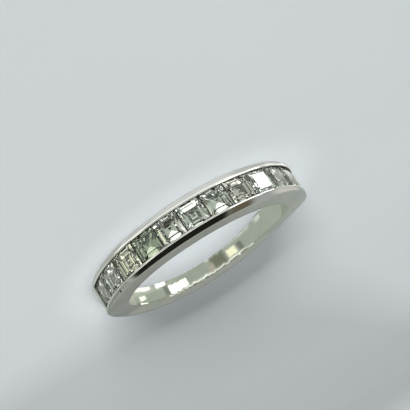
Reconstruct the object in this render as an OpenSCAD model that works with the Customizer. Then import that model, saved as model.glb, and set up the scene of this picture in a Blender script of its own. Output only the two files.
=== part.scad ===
// Half eternity ring with a channel of square step-cut stones, lying on its side.

/* [Shank] */
// mean inside diameter of the finger hole
hole_d = 17; // [14:0.5:22]
// radius of the flatter stretches of the hole less that of its three rounder stretches
out_of_round = 2.5; // [0:0.1:5]
// thickness of the metal from the hole to the outside
band_t = 2.3; // [1.8:0.1:3]
// width of the band across the middle of the stones
top_w = 3.5; // [2.8:0.1:5]
// width of the band at the bottom of the shank
bottom_w = 1.75; // [1.2:0.05:3.4]
// chamfer on the long edges
edge = 0.1; // [0.05:0.01:0.3]

/* [Channel walls] */
// width over the flat tops of the two walls
crest_w = 2.58; // [2.4:0.02:3]
// fall of the bevel outside the wall tops, for each millimetre across
bevel_slope = 0.36; // [0:0.02:1]
// opening between the lips
lip_gap = 2.24; // [1.4:0.02:2.3]
// clearance between stone and metal
seat_gap = 0.04; // [0.02:0.01:0.1]

/* [Stones] */
// length of a stone along the row
stone_l = 2.3; // [1.5:0.05:3]
// width of a stone across the row
stone_w = 2.44; // [1.5:0.02:2.6]
// clearance between one stone and the next at the girdle
stone_gap = 0.07; // [0.05:0.01:0.3]
// depth of the girdle under the wall tops
girdle_depth = 0.4; // [0.3:0.01:0.6]

/* [Hidden] */
$fn = 180;
arc_lap = 0.5;
arc_grow = 0.002;
metal = [0.78, 0.79, 0.78];
diamond = [0.86, 0.92, 0.89];

// The hole and the outside are six arcs that meet without a corner: three flatter ones, the first of them
// under the stones, and three rounder ones between.
flat_r = hole_d / 2 + out_of_round / 2;
round_r = hole_d / 2 - out_of_round / 2;
flat_back = out_of_round * (cos(30) - sin(30) / tan(60));
round_out = out_of_round * sin(30) / sin(60);
top_y = flat_r - flat_back + band_t;
bottom_y = -(round_r + round_out + band_t);

// Both side faces lean in evenly towards the bottom of the shank.
lean = atan((top_w - bottom_w) / 2 / (top_y - bottom_y));
mid_half_w = bottom_w / 2 - bottom_y * tan(lean);

// Steps of the cut: height over the girdle plane, and share of the stone's full width.
table_step = [0.27, 0.62];
crown_step = [0.19, 0.81];
girdle_top = [0.02, 1];
girdle_foot = [-0.03, 1];
pavilion_step = [-0.36, 0.8];
keel_step = [-0.78, 0.48];
culet_step = [-1.12, 0.03];
cut_steps = [table_step, crown_step, girdle_top, girdle_foot, pavilion_step, keel_step, culet_step];

NODES = ["band", "stone_01", "stone_02", "stone_03", "stone_04", "stone_05", "stone_06",
         "stone_07", "stone_08", "stone_09", "stone_10", "stone_11", "stone_12"];

// Where the stones sit: offset of the girdle from the hole, and lengths and angles along that line.
stones = len(NODES) - 1;
pitch = stone_l + stone_gap;
seat = band_t - girdle_depth;
flat_run = (flat_r + seat) * 30 * PI / 180;
function turn(s) = abs(s) < flat_run
    ? s / (flat_r + seat) * 180 / PI
    : sign(s) * (30 + (abs(s) - flat_run) / (round_r + seat) * 180 / PI);
row_end = turn(stones * pitch / 2);

function is_flat(k) = k % 2 == 0;
function arc_centre(k) = (is_flat(k) ? -flat_back : round_out) * [sin(60 * k), cos(60 * k)];
function arc_r(k) = is_flat(k) ? flat_r : round_r;
function outline(a, off) = arc_centre(round(a / 60)) + (arc_r(round(a / 60)) + off) * [sin(a), cos(a)];

// Sweeps a section round the hole between two turns from the top. Its x is the offset outwards from the
// hole, and its y is across the band. A flatter arc is larger all round by $grow and laps over its
// neighbours, so that the arcs join into one solid.
module sweep(from, to) {
    for (k = [round(from / 60) : round(to / 60)]) {
        lap = is_flat(k) ? arc_lap : 0;
        $grow = is_flat(k) ? arc_grow : 0;
        a = max(from, 60 * k - 30 - lap);
        b = min(to, 60 * k + 30 + lap);
        if (b - a > 1)
            translate(arc_centre(k))
                rotate(90 - b)
                    rotate_extrude(angle = b - a)
                        translate([arc_r(k), 0])
                            children();
    }
}

// The band's section before its sides are cut: flat over the wall tops, bevelled outside them.
module band_section() {
    over = top_w / 2 + 0.5 + $grow;
    crest = crest_w / 2 + $grow;
    out = band_t + $grow;
    fall = (over - crest) * bevel_slope;
    polygon([[-$grow, -over], [out - fall, -over], [out, -crest],
             [out, crest], [out - fall, over], [-$grow, over]]);
}

// Space that the stones lie in: lips over the girdle, a straight groove for it, and a floor cut to the pavilion.
module channel_section() {
    half = stone_w / 2;
    gap = seat_gap + $grow;
    right = [
        [seat + 1, lip_gap / 2 + $grow],
        [seat + 0.3, lip_gap / 2 + $grow],
        [seat + 0.11, half + gap],
        [seat + girdle_foot[0] - gap, half + gap],
        [seat + pavilion_step[0] - gap, half * pavilion_step[1] + gap],
        [seat + keel_step[0] - gap, half * keel_step[1] + gap],
        [seat + culet_step[0] - gap, half * culet_step[1] + gap]
    ];
    left = [for (i = [len(right) - 1 : -1 : 0]) [right[i][0], -right[i][1]]];
    polygon(concat(right, left));
}

// All that lies beyond one side face, the face leaning by the angle given.
module beyond_face() {
    reach = hole_d + 4 * band_t;
    translate([-reach / 2, -reach / 2, 0])
        cube([reach, reach, top_w]);
    sweep(-30, 330)
        polygon([[-0.02, -edge - $grow], [edge + $grow, 0.02], [-0.02, 0.02]]);
    sweep(-30, 330)
        polygon([[band_t + 0.02, -edge - $grow], [band_t + 0.02, 0.02], [band_t - edge - $grow, 0.02]]);
}

module on_near_face() {
    translate([0, 0, mid_half_w])
        rotate([lean, 0, 0])
            children();
}

// One stone, table outwards along y, girdle plane at the origin.
module step_cut(l, w) {
    corner = [[-1, -1], [1, -1], [1, 1], [-1, 1]];
    n = len(cut_steps);
    points = [for (s = cut_steps) for (c = corner) [c[0] * s[1] * l / 2, s[0], c[1] * s[1] * w / 2]];
    sides = [for (i = [0 : n - 2]) for (j = [0 : 3])
        [4 * i + j, 4 * i + (j + 1) % 4, 4 * i + 4 + (j + 1) % 4, 4 * i + 4 + j]];
    table = [[3, 2, 1, 0]];
    culet = [[for (j = [0 : 3]) 4 * (n - 1) + j]];
    polyhedron(points, concat(table, sides, culet));
}

// Lays the ring on its far side face, the near face uppermost. The origin stays in the middle of the hole.
module laid() {
    rotate([lean, 0, 0])
        children();
}

module set_stone(number) {
    a = turn((number - (stones + 1) / 2) * pitch);
    color(diamond)
        laid()
            translate(outline(a, seat))
                rotate(-a)
                    step_cut(stone_l, stone_w);
}

module band() {
    end_gap = seat_gap / (round_r + seat) * 180 / PI;
    color(metal)
        laid()
            difference() {
                sweep(-30, 330)
                    band_section();
                on_near_face()
                    beyond_face();
                mirror([0, 0, 1])
                    on_near_face()
                        beyond_face();
                sweep(-row_end - end_gap, row_end + end_gap)
                    channel_section();
            }
}

module stone_01() { set_stone(1); }
module stone_02() { set_stone(2); }
module stone_03() { set_stone(3); }
module stone_04() { set_stone(4); }
module stone_05() { set_stone(5); }
module stone_06() { set_stone(6); }
module stone_07() { set_stone(7); }
module stone_08() { set_stone(8); }
module stone_09() { set_stone(9); }
module stone_10() { set_stone(10); }
module stone_11() { set_stone(11); }
module stone_12() { set_stone(12); }

band();
stone_01();
stone_02();
stone_03();
stone_04();
stone_05();
stone_06();
stone_07();
stone_08();
stone_09();
stone_10();
stone_11();
stone_12();
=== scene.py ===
# %% [markdown]
# A half eternity ring lies on its side on a pale floor. Its band is one piece of polished white gold with
# a channel cut along the top, and twelve square step-cut diamonds stand edge to edge in that channel.
# The imported model is loaded first, because the sizes below have to agree with it. The box of its band
# later gives the floor's height.

import math
import random

import bmesh
import bpy
from mathutils import Matrix, Vector


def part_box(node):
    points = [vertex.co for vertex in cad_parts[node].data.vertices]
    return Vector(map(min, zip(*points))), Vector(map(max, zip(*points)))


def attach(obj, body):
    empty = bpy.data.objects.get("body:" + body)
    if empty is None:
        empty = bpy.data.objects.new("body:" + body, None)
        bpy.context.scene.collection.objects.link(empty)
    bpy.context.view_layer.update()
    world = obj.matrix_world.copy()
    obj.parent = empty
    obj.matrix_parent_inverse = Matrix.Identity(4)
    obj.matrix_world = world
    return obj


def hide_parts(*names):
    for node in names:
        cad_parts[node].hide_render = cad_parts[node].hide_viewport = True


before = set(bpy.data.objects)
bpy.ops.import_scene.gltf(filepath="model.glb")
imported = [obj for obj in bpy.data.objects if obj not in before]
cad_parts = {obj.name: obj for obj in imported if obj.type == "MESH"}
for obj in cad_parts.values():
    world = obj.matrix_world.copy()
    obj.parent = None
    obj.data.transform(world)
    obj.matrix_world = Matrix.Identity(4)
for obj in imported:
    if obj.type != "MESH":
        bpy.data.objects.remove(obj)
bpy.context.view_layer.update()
scene = bpy.context.scene
mm = 0.001

# %% [markdown]
# A goldsmith thinks of the ring as a section that is carried round the finger hole. The hole is a little
# out of round: three flatter arcs, one of them under the stones, and three rounder ones between. The sizes
# repeat those of the model's source, in metres. Of the stones' steps, each is a height over the girdle
# plane and the share of the stone's full width that is left there.

# %% Sizes of the ring
hole_r = 8.5 * mm
out_of_round = 2.5 * mm
band_t = 2.3 * mm
top_w, bottom_w = 3.5 * mm, 1.75 * mm
crest_half, lip_half = 1.29 * mm, 1.12 * mm
bevel_slope = 0.36
girdle_depth = 0.4 * mm
seat_gap = 0.04 * mm
stone_l, stone_w = 2.3 * mm, 2.44 * mm
stone_pitch = stone_l + 0.07 * mm
girdle_up, girdle_down = 0.02 * mm, 0.03 * mm
crown_steps = [(0.19 * mm, 0.81), (0.27 * mm, 0.62)]
pavilion_steps = [(-0.36 * mm, 0.8), (-0.78 * mm, 0.48), (-1.12 * mm, 0.03)]
stones = sorted(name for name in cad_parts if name.startswith("stone_"))

half_arc = math.radians(30)
flat_r, round_r = hole_r + out_of_round / 2, hole_r - out_of_round / 2
flat_back = out_of_round * (math.cos(half_arc) - math.sin(half_arc) / math.tan(2 * half_arc))
round_out = out_of_round * math.sin(half_arc) / math.sin(2 * half_arc)
top_y, bottom_y = flat_r - flat_back + band_t, -(round_r + round_out + band_t)
lean = math.atan((top_w - bottom_w) / 2 / (top_y - bottom_y))
middle_half_w = bottom_w / 2 - bottom_y * math.tan(lean)
seat = band_t - girdle_depth
print("stones:", len(stones), "lean of the side faces:", round(math.degrees(lean), 2), "degrees")

# %% [markdown]
# A place on the outline is asked for by the way it faces: 0 degrees is the middle of the stones, and turns
# run clockwise as the ring lies. One circle would miss the flatter stretch under the stones, so each sixth
# of a turn is an arc with a centre of its own, which a spin about that centre can follow.

# %% The outline of the hole
def arc(turn):
    """Centre and radius of the arc that holds this turn, in degrees."""
    sixth = round(turn / 60)
    flat = sixth % 2 == 0
    way = math.radians(60 * sixth)
    out = -flat_back if flat else round_out
    return Vector((out * math.sin(way), out * math.cos(way), 0)), flat_r if flat else round_r


def on_outline(turn, off=0.0, across=0.0):
    """The point that lies off outwards from the hole and across over its middle plane."""
    centre, radius = arc(turn)
    way = math.radians(turn)
    return centre + Vector(((radius + off) * math.sin(way), (radius + off) * math.cos(way), across))


def row_turn(length):
    """The turn at a distance along the row of stones, measured at the girdle."""
    flat_run = (flat_r + seat) * half_arc
    if abs(length) < flat_run:
        return math.degrees(length / (flat_r + seat))
    return math.copysign(30 + math.degrees((abs(length) - flat_run) / (round_r + seat)), length)


row_end = row_turn(len(stones) * stone_pitch / 2) + math.degrees(seat_gap / (round_r + seat))
print("the row ends", round(row_end, 1), "degrees from the middle")

# %% [markdown]
# Four small helpers do what the hand does at the bench. One takes up a single piece, one starts a new mesh
# from a primitive and melts it to a single point, one draws a line by extruding that point, and one picks
# edges or faces by a rule.

# %% Hands for modelling
def take_up(piece):
    """Selects this piece alone and makes it the active one."""
    bpy.ops.object.select_all(action="DESELECT")
    piece.select_set(True)
    bpy.context.view_layer.objects.active = piece


def start_point(name, place):
    bpy.ops.object.select_all(action="DESELECT")
    bpy.ops.mesh.primitive_plane_add(size=mm)
    piece = bpy.context.object
    piece.name = piece.data.name = name
    bpy.ops.object.mode_set(mode="EDIT")
    bpy.ops.mesh.merge(type="CENTER")
    bpy.ops.transform.translate(value=place)
    return piece


def draw_to(points, last):
    """Extrudes the chosen point from last through the points, one after the other."""
    for point in points:
        bpy.ops.mesh.extrude_region_move(TRANSFORM_OT_translate={"value": point - last})
        last = point


def pick(piece, rule, kind="EDGE"):
    """Selects only the edges or faces for which the rule holds, and says how many there are."""
    bpy.ops.mesh.select_mode(type=kind)
    bpy.ops.mesh.select_all(action="DESELECT")
    mesh = bmesh.from_edit_mesh(piece.data)
    found = [e for e in (mesh.edges if kind == "EDGE" else mesh.faces) if rule(e)]
    for element in found:
        element.select = True
    mesh.select_flush_mode()
    bmesh.update_edit_mesh(piece.data)
    return len(found)


print("a line starts from a plane", mm, "m across that is melted to a point")

# %% [markdown]
# The section is drawn as two open lines: one lies against the finger, and the outer one has a narrow crest
# and a bevel. Over the stones the outer line dips into the channel, so that stretch has a line of its own,
# with the same first and last corners. Polished metal has no knife edges, so the corners at the crest and
# the lips are rounded before anything is spun. The crest lies a hair low, which keeps the finished ring
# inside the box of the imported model.

# %% Draw the sections
most_cut = 0.45


def rounded(line, radius, steps=4):
    """The line with every corner between its two ends rounded by short chords."""
    points = [Vector(p) for p in line]
    out = points[:1]
    for before, corner, after in zip(points, points[1:], points[2:]):
        back, ahead = (before - corner).normalized(), (after - corner).normalized()
        cut = radius / math.tan(back.angle(ahead) / 2)
        cut = min(cut, (before - corner).length * most_cut, (after - corner).length * most_cut)
        start, end = corner + back * cut, corner + ahead * cut
        for share in (i / steps for i in range(steps + 1)):
            out.append(start.lerp(corner, share).lerp(corner.lerp(end, share), share))
    return out + points[-1:]


def with_mirror(line):
    """A half section and its mirror image, from one side of the band to the other."""
    return line + [Vector((p.x, -p.y)) for p in reversed(line)]


crest_round, lip_round = 0.4 * mm, 0.06 * mm
under_box = 0.004 * mm
crest_off = band_t - under_box
reach = top_w / 2 + 0.5 * mm
bevel_foot = crest_off - (reach - crest_half) * bevel_slope
groove_half = stone_w / 2 + seat_gap
lip_foot, shoulder = seat + 0.16 * mm, seat + 0.11 * mm
crest_line = [(bevel_foot, reach), (crest_off, crest_half), (crest_off, lip_half)]
channel_line = [(lip_foot, lip_half), (shoulder, groove_half), (seat - girdle_down - seat_gap, groove_half)]
channel_line += [(seat + down - seat_gap, share * stone_w / 2 + seat_gap) for down, share in pavilion_steps]
shank_half_line = rounded(crest_line, crest_round)
lip = rounded([shank_half_line[-2], crest_line[-1], channel_line[0]], lip_round)
row_half_line = shank_half_line[:-1] + lip[1:-1] + [Vector(p) for p in channel_line]
print("corners in a section over the stones:", 2 * len(row_half_line))

# %% [markdown]
# Spinning the line about the centre of each arc in turn carries it round the ring without a kink, because
# two neighbouring arcs meet on one line through both centres. Three skins come of it: the row, the outside
# of the shank, and the inside of the hole.

# %% Spin the sections round the hole
degrees_per_step = 1.5
no_turn = 1e-6


def spin_line(name, line, begin, end):
    """Spins a line of (off, across) points from one turn to the other, a sixth of the ring at a time."""
    corners = [on_outline(begin, off, across) for off, across in line]
    piece = start_point(name, corners[0])
    draw_to(corners[1:], corners[0])
    bpy.ops.mesh.select_all(action="SELECT")
    turn = begin
    while turn < end - no_turn:
        stop = min(end, 60 * math.floor((turn + 30) / 60 + no_turn) + 30)
        centre, _ = arc((turn + stop) / 2)
        bpy.ops.mesh.spin(steps=max(2, round((stop - turn) / degrees_per_step)),
                          angle=math.radians(stop - turn), center=centre, axis=(0, 0, 1))
        turn = stop
    bpy.ops.object.mode_set(mode="OBJECT")
    return piece


row = spin_line("band_row", with_mirror(row_half_line), -row_end, row_end)
shank = spin_line("band_shank", with_mirror(shank_half_line), row_end, 360 - row_end)
inside = spin_line("band_inside", [(0, -reach), (0, reach)], -row_end, 360 - row_end)
skins = (row, shank, inside)
for piece in skins:
    print(piece.name, len(piece.data.polygons), "faces")

# %% [markdown]
# Two changes to the plain form follow wear and the goldsmith's file, and both fade in softly. A Displace
# modifier does this well: it moves each vertex by a share of one amount, and the share is a vertex weight.

# %% Hands for filing
def eased(value, start, end):
    """0 before start and 1 after end, with a soft beginning and a soft end."""
    share = min(max((value - start) / (end - start), 0), 1)
    return share * share * (3 - 2 * share)


def turned(place):
    """How many degrees a place lies round the ring from the middle of the stones, either way."""
    return abs(math.degrees(math.atan2(place.x, place.y)))


def push(piece, direction, most, share_of):
    """Moves the vertices along a direction, each by its share of the most."""
    group = piece.vertex_groups.new(name="push")
    for vertex in piece.data.vertices:
        share = share_of(vertex.co)
        if share > 0:
            group.add([vertex.index], share, "ADD")
    modifier = piece.modifiers.new("push", "DISPLACE")
    modifier.direction, modifier.strength, modifier.mid_level = direction, most, 0
    modifier.vertex_group = group.name
    take_up(piece)
    bpy.ops.object.modifier_apply(modifier=modifier.name)
    piece.vertex_groups.clear()


print("a place on +X is turned by", turned(Vector((1, 0, 0))), "degrees")

# %% [markdown]
# The ring has been thinned by wear between the row's ends and the bottom of the shank. The outer skin is
# pushed in there before it is joined to the others, and less again at the very bottom.

# %% Thin the shank
thinned_by = 0.22 * mm
fully_thin_at = 98
thicker_from, thicker_to, thicker_share = 140, 178, 0.7


def thinning(place):
    at_bottom = thicker_share * eased(turned(place), thicker_from, thicker_to)
    return eased(turned(place), row_end, fully_thin_at) * (1 - at_bottom)


first = shank.data.polygons[0]
inwards = -1 if first.normal.dot(first.center) > 0 else 1
push(shank, "NORMAL", inwards * thinned_by, thinning)
print("the shank is thinned by up to", round(thinned_by / mm, 2), "mm")

# %% [markdown]
# Three finishes lie on the one piece of metal: the bright outside, the hole, which a finger has rubbed
# smooth but not quite even, and the channel, where no wheel reaches: its metal is rough, and its colour is
# painted dark for the shade that falls between the stones and the lips. Each skin gets the same list of
# finishes before the skins are joined, so that a face's number in the list still holds after the join.

# %% Mark the finishes
BRIGHT, RUBBED, PAINTED_SHADE = range(3)
finish_names = ("white_gold_bright", "white_gold_rubbed", "white_gold_channel_painted_shade")
finishes = [bpy.data.materials.new(name) for name in finish_names]
for piece in skins:
    for finish in finishes:
        piece.data.materials.append(finish)
for face in inside.data.polygons:
    face.material_index = RUBBED
channel_top = crest_off - lip_round
# Faces inside the channel take the finish whose colour is painted dark for the shade there.
for face in row.data.polygons:
    centre, radius = arc(math.degrees(math.atan2(face.center.x, face.center.y)))
    off = (face.center - centre).xy.length - radius
    if off < channel_top and abs(face.center.z) < groove_half:
        face.material_index = PAINTED_SHADE
print("faces in the channel:", sum(face.material_index == PAINTED_SHADE for face in row.data.polygons))

# %% [markdown]
# The three skins become one. A saw cut along each leaning side face trims them, the cut is closed from the
# outer rim to the inner one, and the channel gets its two end walls. The closing faces are cut four times
# between the rims, so that they stay flat and mirror evenly.

# %% Trim and close the band
near_face = Vector((0, -math.sin(lean), math.cos(lean)))
far_face = Vector((0, -math.sin(lean), -math.cos(lean)))
weld_within, on_cut = 0.0005 * mm, 0.0001 * mm


def beside_cut(edge, start, side):
    """Whether an open edge lies in the plane of the cut."""
    return edge.is_boundary and all(abs((v.co - start).dot(side)) < on_cut for v in edge.verts)


bpy.ops.object.select_all(action="DESELECT")
for piece in skins:
    piece.select_set(True)
bpy.context.view_layer.objects.active = inside
bpy.ops.object.join()
band = bpy.context.object
band.name = band.data.name = "band_polished"
bpy.ops.object.mode_set(mode="EDIT")
bpy.ops.mesh.select_all(action="SELECT")
bpy.ops.mesh.remove_doubles(threshold=weld_within)
for side in (near_face, far_face):
    start = Vector((0, 0, math.copysign(middle_half_w, side.z)))
    bpy.ops.mesh.select_all(action="SELECT")
    bpy.ops.mesh.bisect(plane_co=start, plane_no=side, clear_outer=True, threshold=1e-8)
    count = pick(band, lambda e: beside_cut(e, start, side))
    bpy.ops.mesh.bridge_edge_loops(number_cuts=4, interpolation="LINEAR")
    band.active_material_index = BRIGHT
    bpy.ops.object.material_slot_assign()
    print("edges round a side face:", count)
ends = pick(band, lambda e: e.is_boundary)
bpy.ops.mesh.fill_holes(sides=0)
print("edges round the channel's two ends:", ends, "still open:", pick(band, lambda e: not e.is_manifold))
bpy.ops.mesh.select_all(action="SELECT")
bpy.ops.mesh.normals_make_consistent(inside=False)
bpy.ops.object.mode_set(mode="OBJECT")

# %% [markdown]
# From the last stones on, the band narrows faster than its side faces lean, and then keeps its width round
# the bottom of the shank. Only the upper half is pushed down for that, towards the middle plane. The lower
# side face is the one that the ring lies on, and it stays flat.

# %% Narrow the shank
narrow_from, narrow_to, narrow_half = 4 * mm, -5.5 * mm, 0.71 * mm
most_narrowed = 0.5 * mm


def narrowing(place):
    """How far a place on the upper half moves towards the middle plane, as a share of the most."""
    if place.z <= 0 or place.y >= narrow_from:
        return 0
    full, begin = (middle_half_w + y * math.tan(lean) for y in (place.y, narrow_from))
    wanted = narrow_half + (begin - narrow_half) * eased(place.y, narrow_to, narrow_from)
    return place.z * (1 - wanted / full) / most_narrowed


push(band, "Z", -most_narrowed, narrowing)
print("half width at the bottom, from the middle plane up, in mm:", round(narrow_half / mm, 2))

# %% [markdown]
# A buffing wheel and years of wear have softened the four long rims. Beside the stones the rims are still
# crisp; round the shank, where the hand rubs, they are round. One Bevel modifier whose width follows a
# weight on each edge gives both, where a plain bevel would give the same width all round.

# %% Soften the rims
crisp_round, worn_round = 0.12 * mm, 0.55 * mm
inner_crisp, inner_worn = 0.08 * mm, 0.12 * mm
worn_from, worn_to = 68, 92
on_side_from = 0.95


def rim_round(place, inner):
    """How far a rim is rounded at a place on it."""
    crisp, worn = (inner_crisp, inner_worn) if inner else (crisp_round, worn_round)
    return crisp + (worn - crisp) * eased(turned(place), worn_from, worn_to)


faces_of = {}
for face in band.data.polygons:
    on_side = max(abs(face.normal.dot(side)) for side in (near_face, far_face)) > on_side_from
    for key in face.edge_keys:
        faces_of.setdefault(key, []).append((on_side, face.material_index))
weights = band.data.attributes.new("bevel_weight_edge", "FLOAT", "EDGE")
rims = 0
for edge in band.data.edges:
    (first_on_side, first_finish), (second_on_side, second_finish) = faces_of[edge.key]
    if first_on_side != second_on_side:
        middle = (band.data.vertices[edge.vertices[0]].co + band.data.vertices[edge.vertices[1]].co) / 2
        inner = RUBBED in (first_finish, second_finish)
        weights.data[edge.index].value = rim_round(middle, inner) / worn_round
        rims += 1
soften = band.modifiers.new("rims", "BEVEL")
soften.limit_method = "WEIGHT"
soften.width = worn_round
soften.segments = 5
take_up(band)
bpy.ops.object.modifier_apply(modifier=soften.name)
print("rim edges:", rims)

# %% [markdown]
# Up to here the ring stood square to its own middle plane. It is laid down on its lower side face by
# turning it through the lean. Then it is shaded smooth, and the large flat faces are given the most weight
# in the shading, so that they mirror like flats right up to the rims.

# %% Lay the band down
laid = Matrix.Rotation(lean, 4, "X")
smooth_below = math.radians(22)
band.matrix_world = laid
bpy.ops.object.transform_apply(location=True, rotation=True, scale=True)
bpy.ops.object.shade_smooth_by_angle(angle=smooth_below)
flats = band.modifiers.new("flats", "WEIGHTED_NORMAL")
flats.mode, flats.weight, flats.keep_sharp = "FACE_AREA", 50, True
bpy.ops.object.modifier_apply(modifier=flats.name)
band.data.update()
low, high = (Vector(end(v.co[i] for v in band.data.vertices) for i in range(3)) for end in (min, max))
print("band in mm:", [round(v / mm, 3) for v in (*low, *high)])

# %% [markdown]
# A square step-cut stone is a stack of square steps. It grows from a thin box, the girdle: the top face is
# extruded and drawn in once for each step up to the table, the bottom face once for each step down to the
# culet. Such stones are cut one by one, so two patterns stand side by side in the row: one with three
# steps below the girdle, and one with two, whose long lower facets show as triangles through the table.

# %% Cut one stone of each pattern
patterns = {"stepped": pavilion_steps, "pointed": [(-0.5 * mm, 0.7), pavilion_steps[-1]]}
squarely = 0.99


def draw_in(piece, facing, levels, level):
    """Extrudes the face that looks along facing to each level in turn, and scales it to its share."""
    share = 1.0
    pick(piece, lambda f: f.normal.y * facing > squarely, "FACE")
    for next_level, next_share in levels:
        bpy.ops.mesh.extrude_region_move(TRANSFORM_OT_translate={"value": (0, next_level - level, 0)})
        bpy.ops.transform.resize(value=(next_share / share, 1, next_share / share))
        level, share = next_level, next_share


def cut_stone(name, pavilion):
    bpy.ops.object.select_all(action="DESELECT")
    bpy.ops.mesh.primitive_cube_add(size=1, location=(0, (girdle_up - girdle_down) / 2, 0),
                                    scale=(stone_l, girdle_up + girdle_down, stone_w))
    piece = bpy.context.object
    piece.name = piece.data.name = name
    bpy.ops.object.transform_apply(location=True, scale=True)
    bpy.ops.object.mode_set(mode="EDIT")
    draw_in(piece, 1, crown_steps, girdle_up)
    draw_in(piece, -1, pavilion, -girdle_down)
    bpy.ops.mesh.select_all(action="SELECT")
    bpy.ops.mesh.normals_make_consistent(inside=False)
    bpy.ops.object.mode_set(mode="OBJECT")
    return piece


masters = {name: cut_stone("stone_" + name, pavilion) for name, pavilion in patterns.items()}
for name, piece in masters.items():
    size = [round(v / mm, 2) for v in piece.dimensions]
    print(name, "stone:", len(piece.data.polygons), "facets, mm:", size)

# %% [markdown]
# Each stone in the row is a copy with its own mesh. No two sit quite alike, because the setter presses each
# one down by itself, and a table that leans by one degree mirrors another part of the room. The table below
# gives, in degrees, how most of them tip across the row and tilt along it, chosen for what their
# tables mirror. The rest lean by chance, the same in every run because the draw is seeded.

# %% Set the stones in the channel
setter = random.Random(11)
most_lean = 0.8
pressed_in = {
    0: (-1.6, 0.3), 1: (-1.6, -0.3), 3: (-1.2, 0.0), 7: (-0.9, 0.0),
    8: (-1.9, 0.0), 9: (-1.6, 0.2), 10: (-1.6, -0.4), 11: (-1.6, 0.0)}
pointed_ones = (3, 4, 6, 10)
set_stones = []
for number, name in enumerate(stones):
    turn = row_turn((number - (len(stones) - 1) / 2) * stone_pitch)
    piece = masters["pointed" if number in pointed_ones else "stepped"].copy()
    piece.data = piece.data.copy()
    piece.name = piece.data.name = "diamond_" + name[-2:]
    scene.collection.objects.link(piece)
    by_chance = setter.uniform(-most_lean, most_lean), setter.uniform(-most_lean, most_lean)
    leans = pressed_in.get(number, by_chance)
    tip, tilt = (Matrix.Rotation(math.radians(v), 4, axis) for v, axis in zip(leans, "XZ"))
    place = Matrix.Translation(on_outline(turn, seat)) @ Matrix.Rotation(math.radians(-turn), 4, "Z")
    piece.data.transform(laid @ place @ tip @ tilt)
    piece.data.update()
    set_stones.append(piece)
for piece in masters.values():
    bpy.data.objects.remove(piece)
print("stones set:", len(set_stones))

# %% [markdown]
# Every finish below is built from the same few nodes: a noise on the piece's own coordinates, a map to the
# range that is wanted, a blend of two tones and a little arithmetic. Each is a helper that returns its
# output, so that a material reads like a sentence.

# %% Hands for the finishes
def nodes_of(material):
    material.use_nodes = True
    tree = material.node_tree
    return tree.nodes, tree.links, tree.nodes["Principled BSDF"]


def feed(links, socket, value):
    """Links an output to a socket, or sets the socket to a number or a colour."""
    if isinstance(value, (int, float)):
        socket.default_value = value
    elif isinstance(value, tuple):
        socket.default_value = (*value, 1)
    else:
        links.new(value, socket)


def maths(nodes, links, operation, *values):
    node = nodes.new("ShaderNodeMath")
    node.operation = operation
    for socket, value in zip(node.inputs, values):
        feed(links, socket, value)
    return node.outputs[0]


def span(nodes, links, value, low, high, start=0.3, end=0.7, kind="LINEAR"):
    """Maps a pattern that runs from start to end to the range from low to high."""
    node = nodes.new("ShaderNodeMapRange")
    node.interpolation_type = kind
    for socket, number in zip(("From Min", "From Max", "To Min", "To Max"), (start, end, low, high)):
        node.inputs[socket].default_value = number
    links.new(value, node.inputs["Value"])
    return node.outputs["Result"]


def mixed(nodes, links, share, under, over):
    """The colour under, covered by the colour over to the share that is given."""
    node = nodes.new("ShaderNodeMix")
    node.data_type = "RGBA"
    colours = [socket for socket in node.inputs if socket.type == "RGBA"]
    for socket, value in zip((node.inputs[0], *colours), (share, under, over)):
        feed(links, socket, value)
    return next(socket for socket in node.outputs if socket.type == "RGBA")


def noise(nodes, links, own, scale, detail=2.0, stretch=(1, 1, 1)):
    """A noise pattern on the piece's own coordinates; a stretch below 1 draws it out along that axis."""
    mapping = nodes.new("ShaderNodeMapping")
    mapping.inputs["Scale"].default_value = stretch
    pattern = nodes.new("ShaderNodeTexNoise")
    pattern.inputs["Scale"].default_value = scale
    pattern.inputs["Detail"].default_value = detail
    links.new(own.outputs["Object"], mapping.inputs["Vector"])
    links.new(mapping.outputs["Vector"], pattern.inputs["Vector"])
    return pattern.outputs["Fac"]


def two_tones(nodes, links, pattern, dark, light):
    """A blend from the dark tone to the light one over the middle of a pattern."""
    ramp = nodes.new("ShaderNodeValToRGB")
    for stop, position, tone in zip(ramp.color_ramp.elements, (0.35, 0.65), (dark, light)):
        stop.position = position
        stop.color = (*tone, 1)
    links.new(pattern, ramp.inputs["Fac"])
    return ramp.outputs["Color"]


print("finishes to dress:", [finish.name for finish in finishes])

# %% [markdown]
# White gold is a mirror with a faint grey warmth. Real polish is never perfect: a slow waviness bends the
# reflections, the tone drifts a little, and hair scratches from wear break the highlights up. One small
# dark spot of colour lies on the near bevel: it covers all the metal within reach of one point.

# %% White gold
dark_spot_place = Vector((-9.253, 5.756, 1.694)) * mm
dark_spot_r, dark_spot_edge_r = 0.08 * mm, 0.14 * mm
dark_spot_tone = (0.04, 0.04, 0.035)
drift_scale, wave_scale, hair_scale = 300, 420, 2600
hair_stretch = (1, 0.15, 1)
hair_depth, wave_depth = 0.004 * mm, 0.02 * mm


def bump(nodes, links, height, strength, depth):
    node = nodes.new("ShaderNodeBump")
    node.inputs["Strength"].default_value = strength
    node.inputs["Distance"].default_value = depth
    links.new(height, node.inputs["Height"])
    return node


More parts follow.
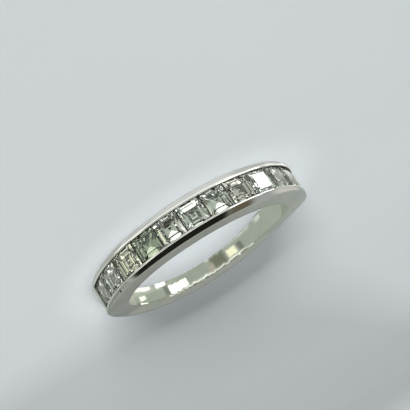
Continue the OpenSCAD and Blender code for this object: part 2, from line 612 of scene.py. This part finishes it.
def dress_metal(material, light, dark, smooth, rough, wave, scratch):
    nodes, links, shader = nodes_of(material)
    own = nodes.new("ShaderNodeTexCoord")
    shader.inputs["Metallic"].default_value = 1.0
    tone = two_tones(nodes, links, noise(nodes, links, own, drift_scale, 3), dark, light)
    # A small dark spot in the colour, covering the metal within reach of one point on the near bevel.
    away = nodes.new("ShaderNodeVectorMath")
    away.operation = "DISTANCE"
    away.inputs[1].default_value = dark_spot_place
    links.new(own.outputs["Object"], away.inputs[0])
    beyond_dark_spot = span(nodes, links, away.outputs["Value"], 0, 1, dark_spot_r, dark_spot_edge_r)
    links.new(mixed(nodes, links, beyond_dark_spot, dark_spot_tone, tone), shader.inputs["Base Color"])
    hair = noise(nodes, links, own, hair_scale, 3, hair_stretch)
    links.new(span(nodes, links, hair, smooth, rough), shader.inputs["Roughness"])
    fine = bump(nodes, links, hair, scratch, hair_depth)
    slow = bump(nodes, links, noise(nodes, links, own, wave_scale), wave, wave_depth)
    links.new(fine.outputs["Normal"], slow.inputs["Normal"])
    links.new(slow.outputs["Normal"], shader.inputs["Normal"])


bright, rubbed, channel = finishes
dress_metal(bright, (0.80, 0.80, 0.77), (0.71, 0.72, 0.69),
            smooth=0.07, rough=0.15, wave=0.05, scratch=0.10)
dress_metal(rubbed, (0.76, 0.77, 0.71), (0.66, 0.68, 0.62),
            smooth=0.04, rough=0.09, wave=0.10, scratch=0.15)
# The channel's colour is painted shade: dark for the shade between the stones and the lips.
dress_metal(channel, (0.12, 0.12, 0.11), (0.05, 0.05, 0.045),
            smooth=0.30, rough=0.50, wave=0.20, scratch=0.20)
print("finishes on the band:", [finish.name for finish in band.data.materials])

# %% [markdown]
# Diamond bends light far more than glass does, so the stone mirrors its surroundings from inside. Small
# stones are seldom quite colourless or quite alike, and three in the row lean to yellow, green and pink. A
# faint unevenness in the roughness stands for the film that a wiping cloth leaves.

# %% Diamond
diamond_ior = 2.417
tint_scale, wipe_scale, most_wiped = 900, 1500, 0.02


def diamond(name, clear, cloudy):
    material = bpy.data.materials.new(name)
    nodes, links, shader = nodes_of(material)
    own = nodes.new("ShaderNodeTexCoord")
    tone = two_tones(nodes, links, noise(nodes, links, own, tint_scale), cloudy, clear)
    links.new(tone, shader.inputs["Base Color"])
    wiped = span(nodes, links, noise(nodes, links, own, wipe_scale), 0.0, most_wiped)
    links.new(wiped, shader.inputs["Roughness"])
    shader.inputs["Transmission Weight"].default_value = 1.0
    shader.inputs["IOR"].default_value = diamond_ior
    return material


clear = diamond("diamond_clear", (0.955, 1.0, 0.945), (0.925, 0.985, 0.91))
warm = diamond("diamond_warm", (0.91, 0.95, 0.77), (0.92, 0.87, 0.72))
green = diamond("diamond_green", (0.60, 0.68, 0.52), (0.52, 0.60, 0.43))
rose = diamond("diamond_rose", (0.90, 0.95, 0.86), (0.92, 0.86, 0.80))
tint_of = {2: warm, 3: green, 7: rose}
print("tinted stones:", {number + 1: tint.name for number, tint in tint_of.items()})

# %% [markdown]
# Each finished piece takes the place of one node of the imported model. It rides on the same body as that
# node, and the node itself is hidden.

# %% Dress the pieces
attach(band, "root")
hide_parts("band")
for number, (piece, name) in enumerate(zip(set_stones, stones)):
    piece.data.materials.clear()
    piece.data.materials.append(tint_of.get(number, clear))
    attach(piece, "root")
    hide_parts(name)
print("pieces dressed:", 1 + len(set_stones))

# %% [markdown]
# A jeweller photographs a ring on a sheet of paper that curves up behind it, so that no edge shows. The
# sheet starts as a disc. A flat ring is extruded round it first, because smooth shading would otherwise
# lean the disc's own normals and spoil the low light, and the rest is extruded and widened step by step.

# %% The floor
floor_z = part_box("band")[0].z
flat_floor_r, floor_r, rim_r, rim_h = 0.40, 0.45, 0.75, 0.5
cove_steps = 8


def cove(step):
    """Radius and height of the sheet after this step of its upward curve."""
    way = math.radians(90) * step / cove_steps
    return floor_r + (rim_r - floor_r) * math.sin(way), (rim_r - floor_r) * (1 - math.cos(way))


def carry_on(rise, widening):
    """Extrudes the sheet's edge upwards by the rise and widens it."""
    bpy.ops.mesh.extrude_region_move(TRANSFORM_OT_translate={"value": (0, 0, rise)})
    bpy.ops.transform.resize(value=(widening, widening, 1))


bpy.ops.object.select_all(action="DESELECT")
bpy.ops.mesh.primitive_circle_add(vertices=96, radius=flat_floor_r, fill_type="NGON",
                                  location=(0, 0, floor_z))
floor = bpy.context.object
floor.name = floor.data.name = "floor"
bpy.ops.object.transform_apply(location=True)
bpy.ops.object.mode_set(mode="EDIT")
pick(floor, lambda e: e.is_boundary)
carry_on(0, floor_r / flat_floor_r)
for step in range(cove_steps):
    (was_wide, was_high), (wide, high) = cove(step), cove(step + 1)
    carry_on(high - was_high, wide / was_wide)
carry_on(rim_h, 1)
bpy.ops.object.mode_set(mode="OBJECT")
bpy.ops.object.shade_smooth_by_angle(angle=math.radians(30))
print("floor at", round(floor_z / mm, 3), "mm, faces:", len(floor.data.polygons))

# %% [markdown]
# The paper is pale and matt with a faint grain. Something beside the table takes a little light from one
# quarter of it, which a darker tone with two soft edges gives: one edge runs behind the shank, the other
# slants past it. Far from the ring the paper passes into an even glow of about the same tone, so that the
# background looks alike from all sides.

# %% Pale paper
paper_tone, glow_tone = (0.70, 0.745, 0.76), (0.50, 0.535, 0.545)
shade_depth = 0.19
back_fade, slant_fade = (-22 * mm, -8 * mm), (-9 * mm, 4 * mm)
across_slant = (0.892, 0.452)
glow_from_r, glow_to_r = 0.28, 0.42
grain_scale, grain_low, grain_high = 25, 0.985, 1.015

paper = bpy.data.materials.new("pale_paper")
nodes, links, shader = nodes_of(paper)
own = nodes.new("ShaderNodeTexCoord")
split = nodes.new("ShaderNodeSeparateXYZ")
links.new(own.outputs["Object"], split.inputs["Vector"])
east, north = split.outputs["X"], split.outputs["Y"]
slanting = [maths(nodes, links, "MULTIPLY", way, part) for way, part in zip((east, north), across_slant)]
behind = span(nodes, links, north, 1, 0, *back_fade)
beside = span(nodes, links, maths(nodes, links, "ADD", *slanting), 1, 0, *slant_fade)
shade = maths(nodes, links, "MULTIPLY", maths(nodes, links, "MULTIPLY", behind, beside), shade_depth)
squares = [maths(nodes, links, "MULTIPLY", way, way) for way in (east, north)]
away = maths(nodes, links, "SQRT", maths(nodes, links, "ADD", *squares))
far_glow = span(nodes, links, away, 0, 1, glow_from_r, glow_to_r)
grain = span(nodes, links, noise(nodes, links, own, grain_scale, 3), grain_low, grain_high)
share = maths(nodes, links, "MULTIPLY", maths(nodes, links, "SUBTRACT", 1.0, shade), grain)
share = maths(nodes, links, "MULTIPLY", share, maths(nodes, links, "SUBTRACT", 1.0, far_glow))
colour = nodes.new("ShaderNodeVectorMath")
colour.operation = "SCALE"
colour.inputs[0].default_value = paper_tone
links.new(share, colour.inputs["Scale"])
links.new(colour.outputs["Vector"], shader.inputs["Base Color"])
shader.inputs["Roughness"].default_value = 1.0
shader.inputs["Specular IOR Level"].default_value = 0.0
shader.inputs["Emission Color"].default_value = (*glow_tone, 1)
links.new(far_glow, shader.inputs["Emission Strength"])
floor.data.materials.append(paper)
floor.visible_glossy = floor.visible_transmission = floor.visible_shadow = floor.visible_diffuse = False
print("the paper glows by itself from", glow_from_r, "to", glow_to_r, "m")

# %% [markdown]
# The floor is lit by lamps alone and the ring mirrors the studio world alone, so that each can be set
# without spoiling the other. A low window on the stones' side casts the long soft shadow behind the shank,
# a large lamp above fills it, and a narrow lamp shines straight down into the hole: it stands for the light
# that the polished inside of the shank throws onto the paper.

# %% The lamps over the floor
def keep_to_floor(lamp):
    """Hides a lamp itself from the camera, from mirrors and from the stones."""
    lamp.visible_camera = lamp.visible_glossy = lamp.visible_transmission = False


def soft_light(name, azimuth, elevation, distance, size, share, colour):
    """A softbox that faces the ring; share is how far it alone would light a white floor there."""
    height, turn = math.radians(elevation), math.radians(azimuth)
    way = Vector((math.cos(height) * math.cos(turn), math.cos(height) * math.sin(turn), math.sin(height)))
    data = bpy.data.lights.new(name, "AREA")
    data.shape = "RECTANGLE"
    data.size, data.size_y = size
    data.energy = share * (math.pi * distance) ** 2 / way.z
    data.color = colour
    light = bpy.data.objects.new(name, data)
    scene.collection.objects.link(light)
    light.location = way * distance
    light.rotation_euler = way.to_track_quat("Z", "Y").to_euler()
    keep_to_floor(light)
    return light


window = soft_light("low_window", 99, 3.9, 2.4, (1.0, 0.28), 0.42, (1.0, 0.995, 0.98))
above = soft_light("ceiling", 60, 75, 3.0, (2.8, 2.8), 0.57, (0.99, 1.0, 1.0))

glow_h, glow_r, glow_share = 0.3, 10.2 * mm, 0.52
glow = bpy.data.lights.new("glow_in_the_hole", "SPOT")
glow.spot_size, glow.spot_blend = 2 * math.atan(glow_r / glow_h), 0.2
glow.shadow_soft_size = 6 * mm
glow.energy = glow_share * (2 * math.pi * glow_h) ** 2
glow_lamp = bpy.data.objects.new("glow_in_the_hole", glow)
scene.collection.objects.link(glow_lamp)
glow_lamp.location = (0, 0, glow_h)
keep_to_floor(glow_lamp)
print("lamps:", [lamp.name for lamp in (window, above, glow_lamp)])

# %% [markdown]
# Polished metal has no look of its own: it shows what stands round it. A jeweller stands white and black
# cards about the ring, and here each card is a soft-edged patch of the world's sky, given by its azimuths
# and its heights in degrees. Nodes work out those two angles of every direction.

# %% Hands for the cards
world = bpy.data.worlds.new("studio")
scene.world = world
world.use_nodes = True
world.cycles_visibility.diffuse = False
nodes, links = world.node_tree.nodes, world.node_tree.links
sky = nodes.new("ShaderNodeTexCoord")
split = nodes.new("ShaderNodeSeparateXYZ")
links.new(sky.outputs["Generated"], split.inputs["Vector"])
around = maths(nodes, links, "ARCTAN2", split.outputs["Y"], split.outputs["X"])
round_way = maths(nodes, links, "MULTIPLY", around, 180 / math.pi)
height = maths(nodes, links, "MULTIPLY", maths(nodes, links, "ARCSINE", split.outputs["Z"]), 180 / math.pi)


def between(value, low, high, soft):
    """1 between low and high, falling to 0 over soft degrees to each side of both."""
    rising = span(nodes, links, value, 0, 1, low - soft, low + soft, "SMOOTHSTEP")
    falling = span(nodes, links, value, 0, 1, high + soft, high - soft, "SMOOTHSTEP")
    return maths(nodes, links, "MULTIPLY", rising, falling)


def card(under, azimuths, heights, soft, tone):
    """Lays one card of light or shade over what is under it."""
    sideways, upwards = between(round_way, *azimuths, soft[0]), between(height, *heights, soft[1])
    return mixed(nodes, links, maths(nodes, links, "MULTIPLY", sideways, upwards), under, tone)


print("the world lights the floor:", world.cycles_visibility.diffuse)

# %% [markdown]
# The cards were set one at a time, each for the part of the ring that mirrors it. A later card covers those
# before it, so the wide ones come first and the small ones last. Most of those below the horizon stand for
# the pale paper, which is hidden from the ring's mirrors. No direction reaches an azimuth of 400 degrees,
# so a card that is given one has no edge on that side. Left and right are the picture's.

# %% Stand the cards round the ring
room_tone = (0.46, 0.51, 0.45)
all_round = (-400, 400)
cards = [
    ("white ceiling", all_round, (55, 120), (8, 8), (1.0, 1.02, 1.0)),
    ("paper near the ring", all_round, (-74, -48), (8, 4), (0.78, 0.80, 0.78)),
    ("bright paper before the stones", (24, 184), (-46, -23), (8, 4), (1.45, 1.47, 1.42)),
    ("greyer paper at the right", (-32, 24), (-50, -34), (8, 3), (0.58, 0.60, 0.58)),
    ("bright paper further off there", (-32, 24), (-34, -23), (8, 3), (1.30, 1.32, 1.28)),
    ("paper behind on the right", (-62, -32), (-52, -23), (8, 4), (0.60, 0.62, 0.60)),
    ("paper behind on the left", (-400, -96), (-52, -23), (8, 4), (0.47, 0.49, 0.46)),
    ("paper before the left stones", (130, 172), (-60, -44), (8, 4), (0.60, 0.62, 0.60)),
    ("paper under the ring", all_round, (-120, -76), (8, 4), (0.50, 0.52, 0.50)),
    ("grey wall at the right", (-72, 36), (-7, 32), (5, 4), (0.40, 0.42, 0.42)),
    ("paler part of that wall", (-40, 12), (-4, 15), (8, 4), (0.72, 0.70, 0.66)),
    ("low wall that the side face mirrors", (-400, -73), (-7, 11), (5, 2), (0.27, 0.285, 0.265)),
    ("wall over it", (-400, -73), (11, 26), (5, 2), (0.36, 0.38, 0.34)),
    ("black card for the stripe on the bevel", (60, 172), (2, 46), (5, 5), (0.014, 0.014, 0.012)),
    ("brown end of the black card", (35, 60), (2, 46), (5, 5), (0.14, 0.12, 0.085)),
    ("white line under the black card", (50, 165), (-6.5, 1), (8, 1.5), (1.7, 1.7, 1.65)),
    ("olive patch in the shank", (106, 131), (-21, -7), (4, 3), (0.23, 0.245, 0.19)),
    ("brown side of that patch", (98, 108), (-15, -7), (3, 2), (0.58, 0.54, 0.47)),
    ("yellow spot in the shank", (135, 148), (-16.8, -8.5), (2, 1), (1.3, 1.28, 0.95)),
    ("dark strip beside the spot", (151, 158), (-17, -8), (2, 1), (0.25, 0.26, 0.23)),
    ("window in the shank", (26, 59), (-15.4, -8), (1.5, 0.5), (3.2, 3.2, 3.1)),
    ("dark strip beside the window", (17, 24), (-16.8, -8), (1.5, 0.6), (0.26, 0.27, 0.24)),
    ("small light at the shank's left", (-29, -16), (-15.4, -13), (2, 0.5), (1.6, 1.6, 1.45)),
    ("grey round the small light", (-60, 16), (-20, -16), (3, 0.5), (0.60, 0.64, 0.56)),
    ("light in the right stones", (-62, -2), (-24, -18.2), (3, 0.3), (1.5, 1.5, 1.45)),
    ("bright square in one stone", (8, 22), (-24, -18.2), (1.0, 0.15), (6.5, 6.5, 6.4)),
    ("light in the left stones", (-170, -118), (-24, -19), (4, 0.5), (0.85, 0.86, 0.82)),
]
light = room_tone
for name, azimuths, heights, soft, tone in cards:
    light = card(light, azimuths, heights, soft, tone)
links.new(light, nodes["Background"].inputs["Color"])
print("cards:", len(cards), "from", cards[0][0], "to", name)

# %% [markdown]
# The camera looks across the stones from a low height, from nine centimetres away, and is rolled far over,
# so that the row runs up the picture to the right. Its place is given as a direction from the point that
# it aims at, because that is how a photographer walks round a ring. The roll is given by where the world's
# up points in the picture: to the right, and by so many degrees downwards.

# %% The camera
camera_way = (103.92, 19.62)
aim = Vector((2.19, 1.61, -2.92)) * mm
distance = 90 * mm
up_on_picture = 55.94
focal_px, picture_px, sensor = 960.23, 410, 36
data = bpy.data.cameras.new("camera")
data.sensor_fit, data.sensor_width = "HORIZONTAL", sensor
data.lens = sensor * focal_px / picture_px
data.clip_start = 1 * mm
camera = bpy.data.objects.new("camera", data)
scene.collection.objects.link(camera)
azimuth, elevation = (math.radians(v) for v in camera_way)
level = math.cos(elevation)
back = Vector((level * math.cos(azimuth), level * math.sin(azimuth), math.sin(elevation)))
upright = (Vector((0, 0, 1)) - back * back.z).normalized()
sideways = upright.cross(back)
roll = math.radians(up_on_picture)
picture_right = upright * math.cos(roll) - sideways * math.sin(roll)
picture_up = back.cross(picture_right)
facing = Matrix((picture_right, picture_up, back)).transposed().to_4x4()
camera.matrix_world = Matrix.Translation(aim + back * distance) @ facing
scene.camera = camera
print("picture right:", [round(v, 4) for v in picture_right], "up:", [round(v, 4) for v in picture_up])

# %% [markdown]
# Light runs through a diamond and back many times before it leaves, so the paths may be long. Caustics stay
# off: with them the metal would throw the cards' light onto the paper and fill the shadow.

# %% How light is followed
scene.view_settings.view_transform = "Standard"
scene.cycles.max_bounces = 24
scene.cycles.transmission_bounces = 20
scene.cycles.glossy_bounces = 16
scene.cycles.caustics_reflective = False
scene.cycles.caustics_refractive = False
print("bounces:", scene.cycles.max_bounces)
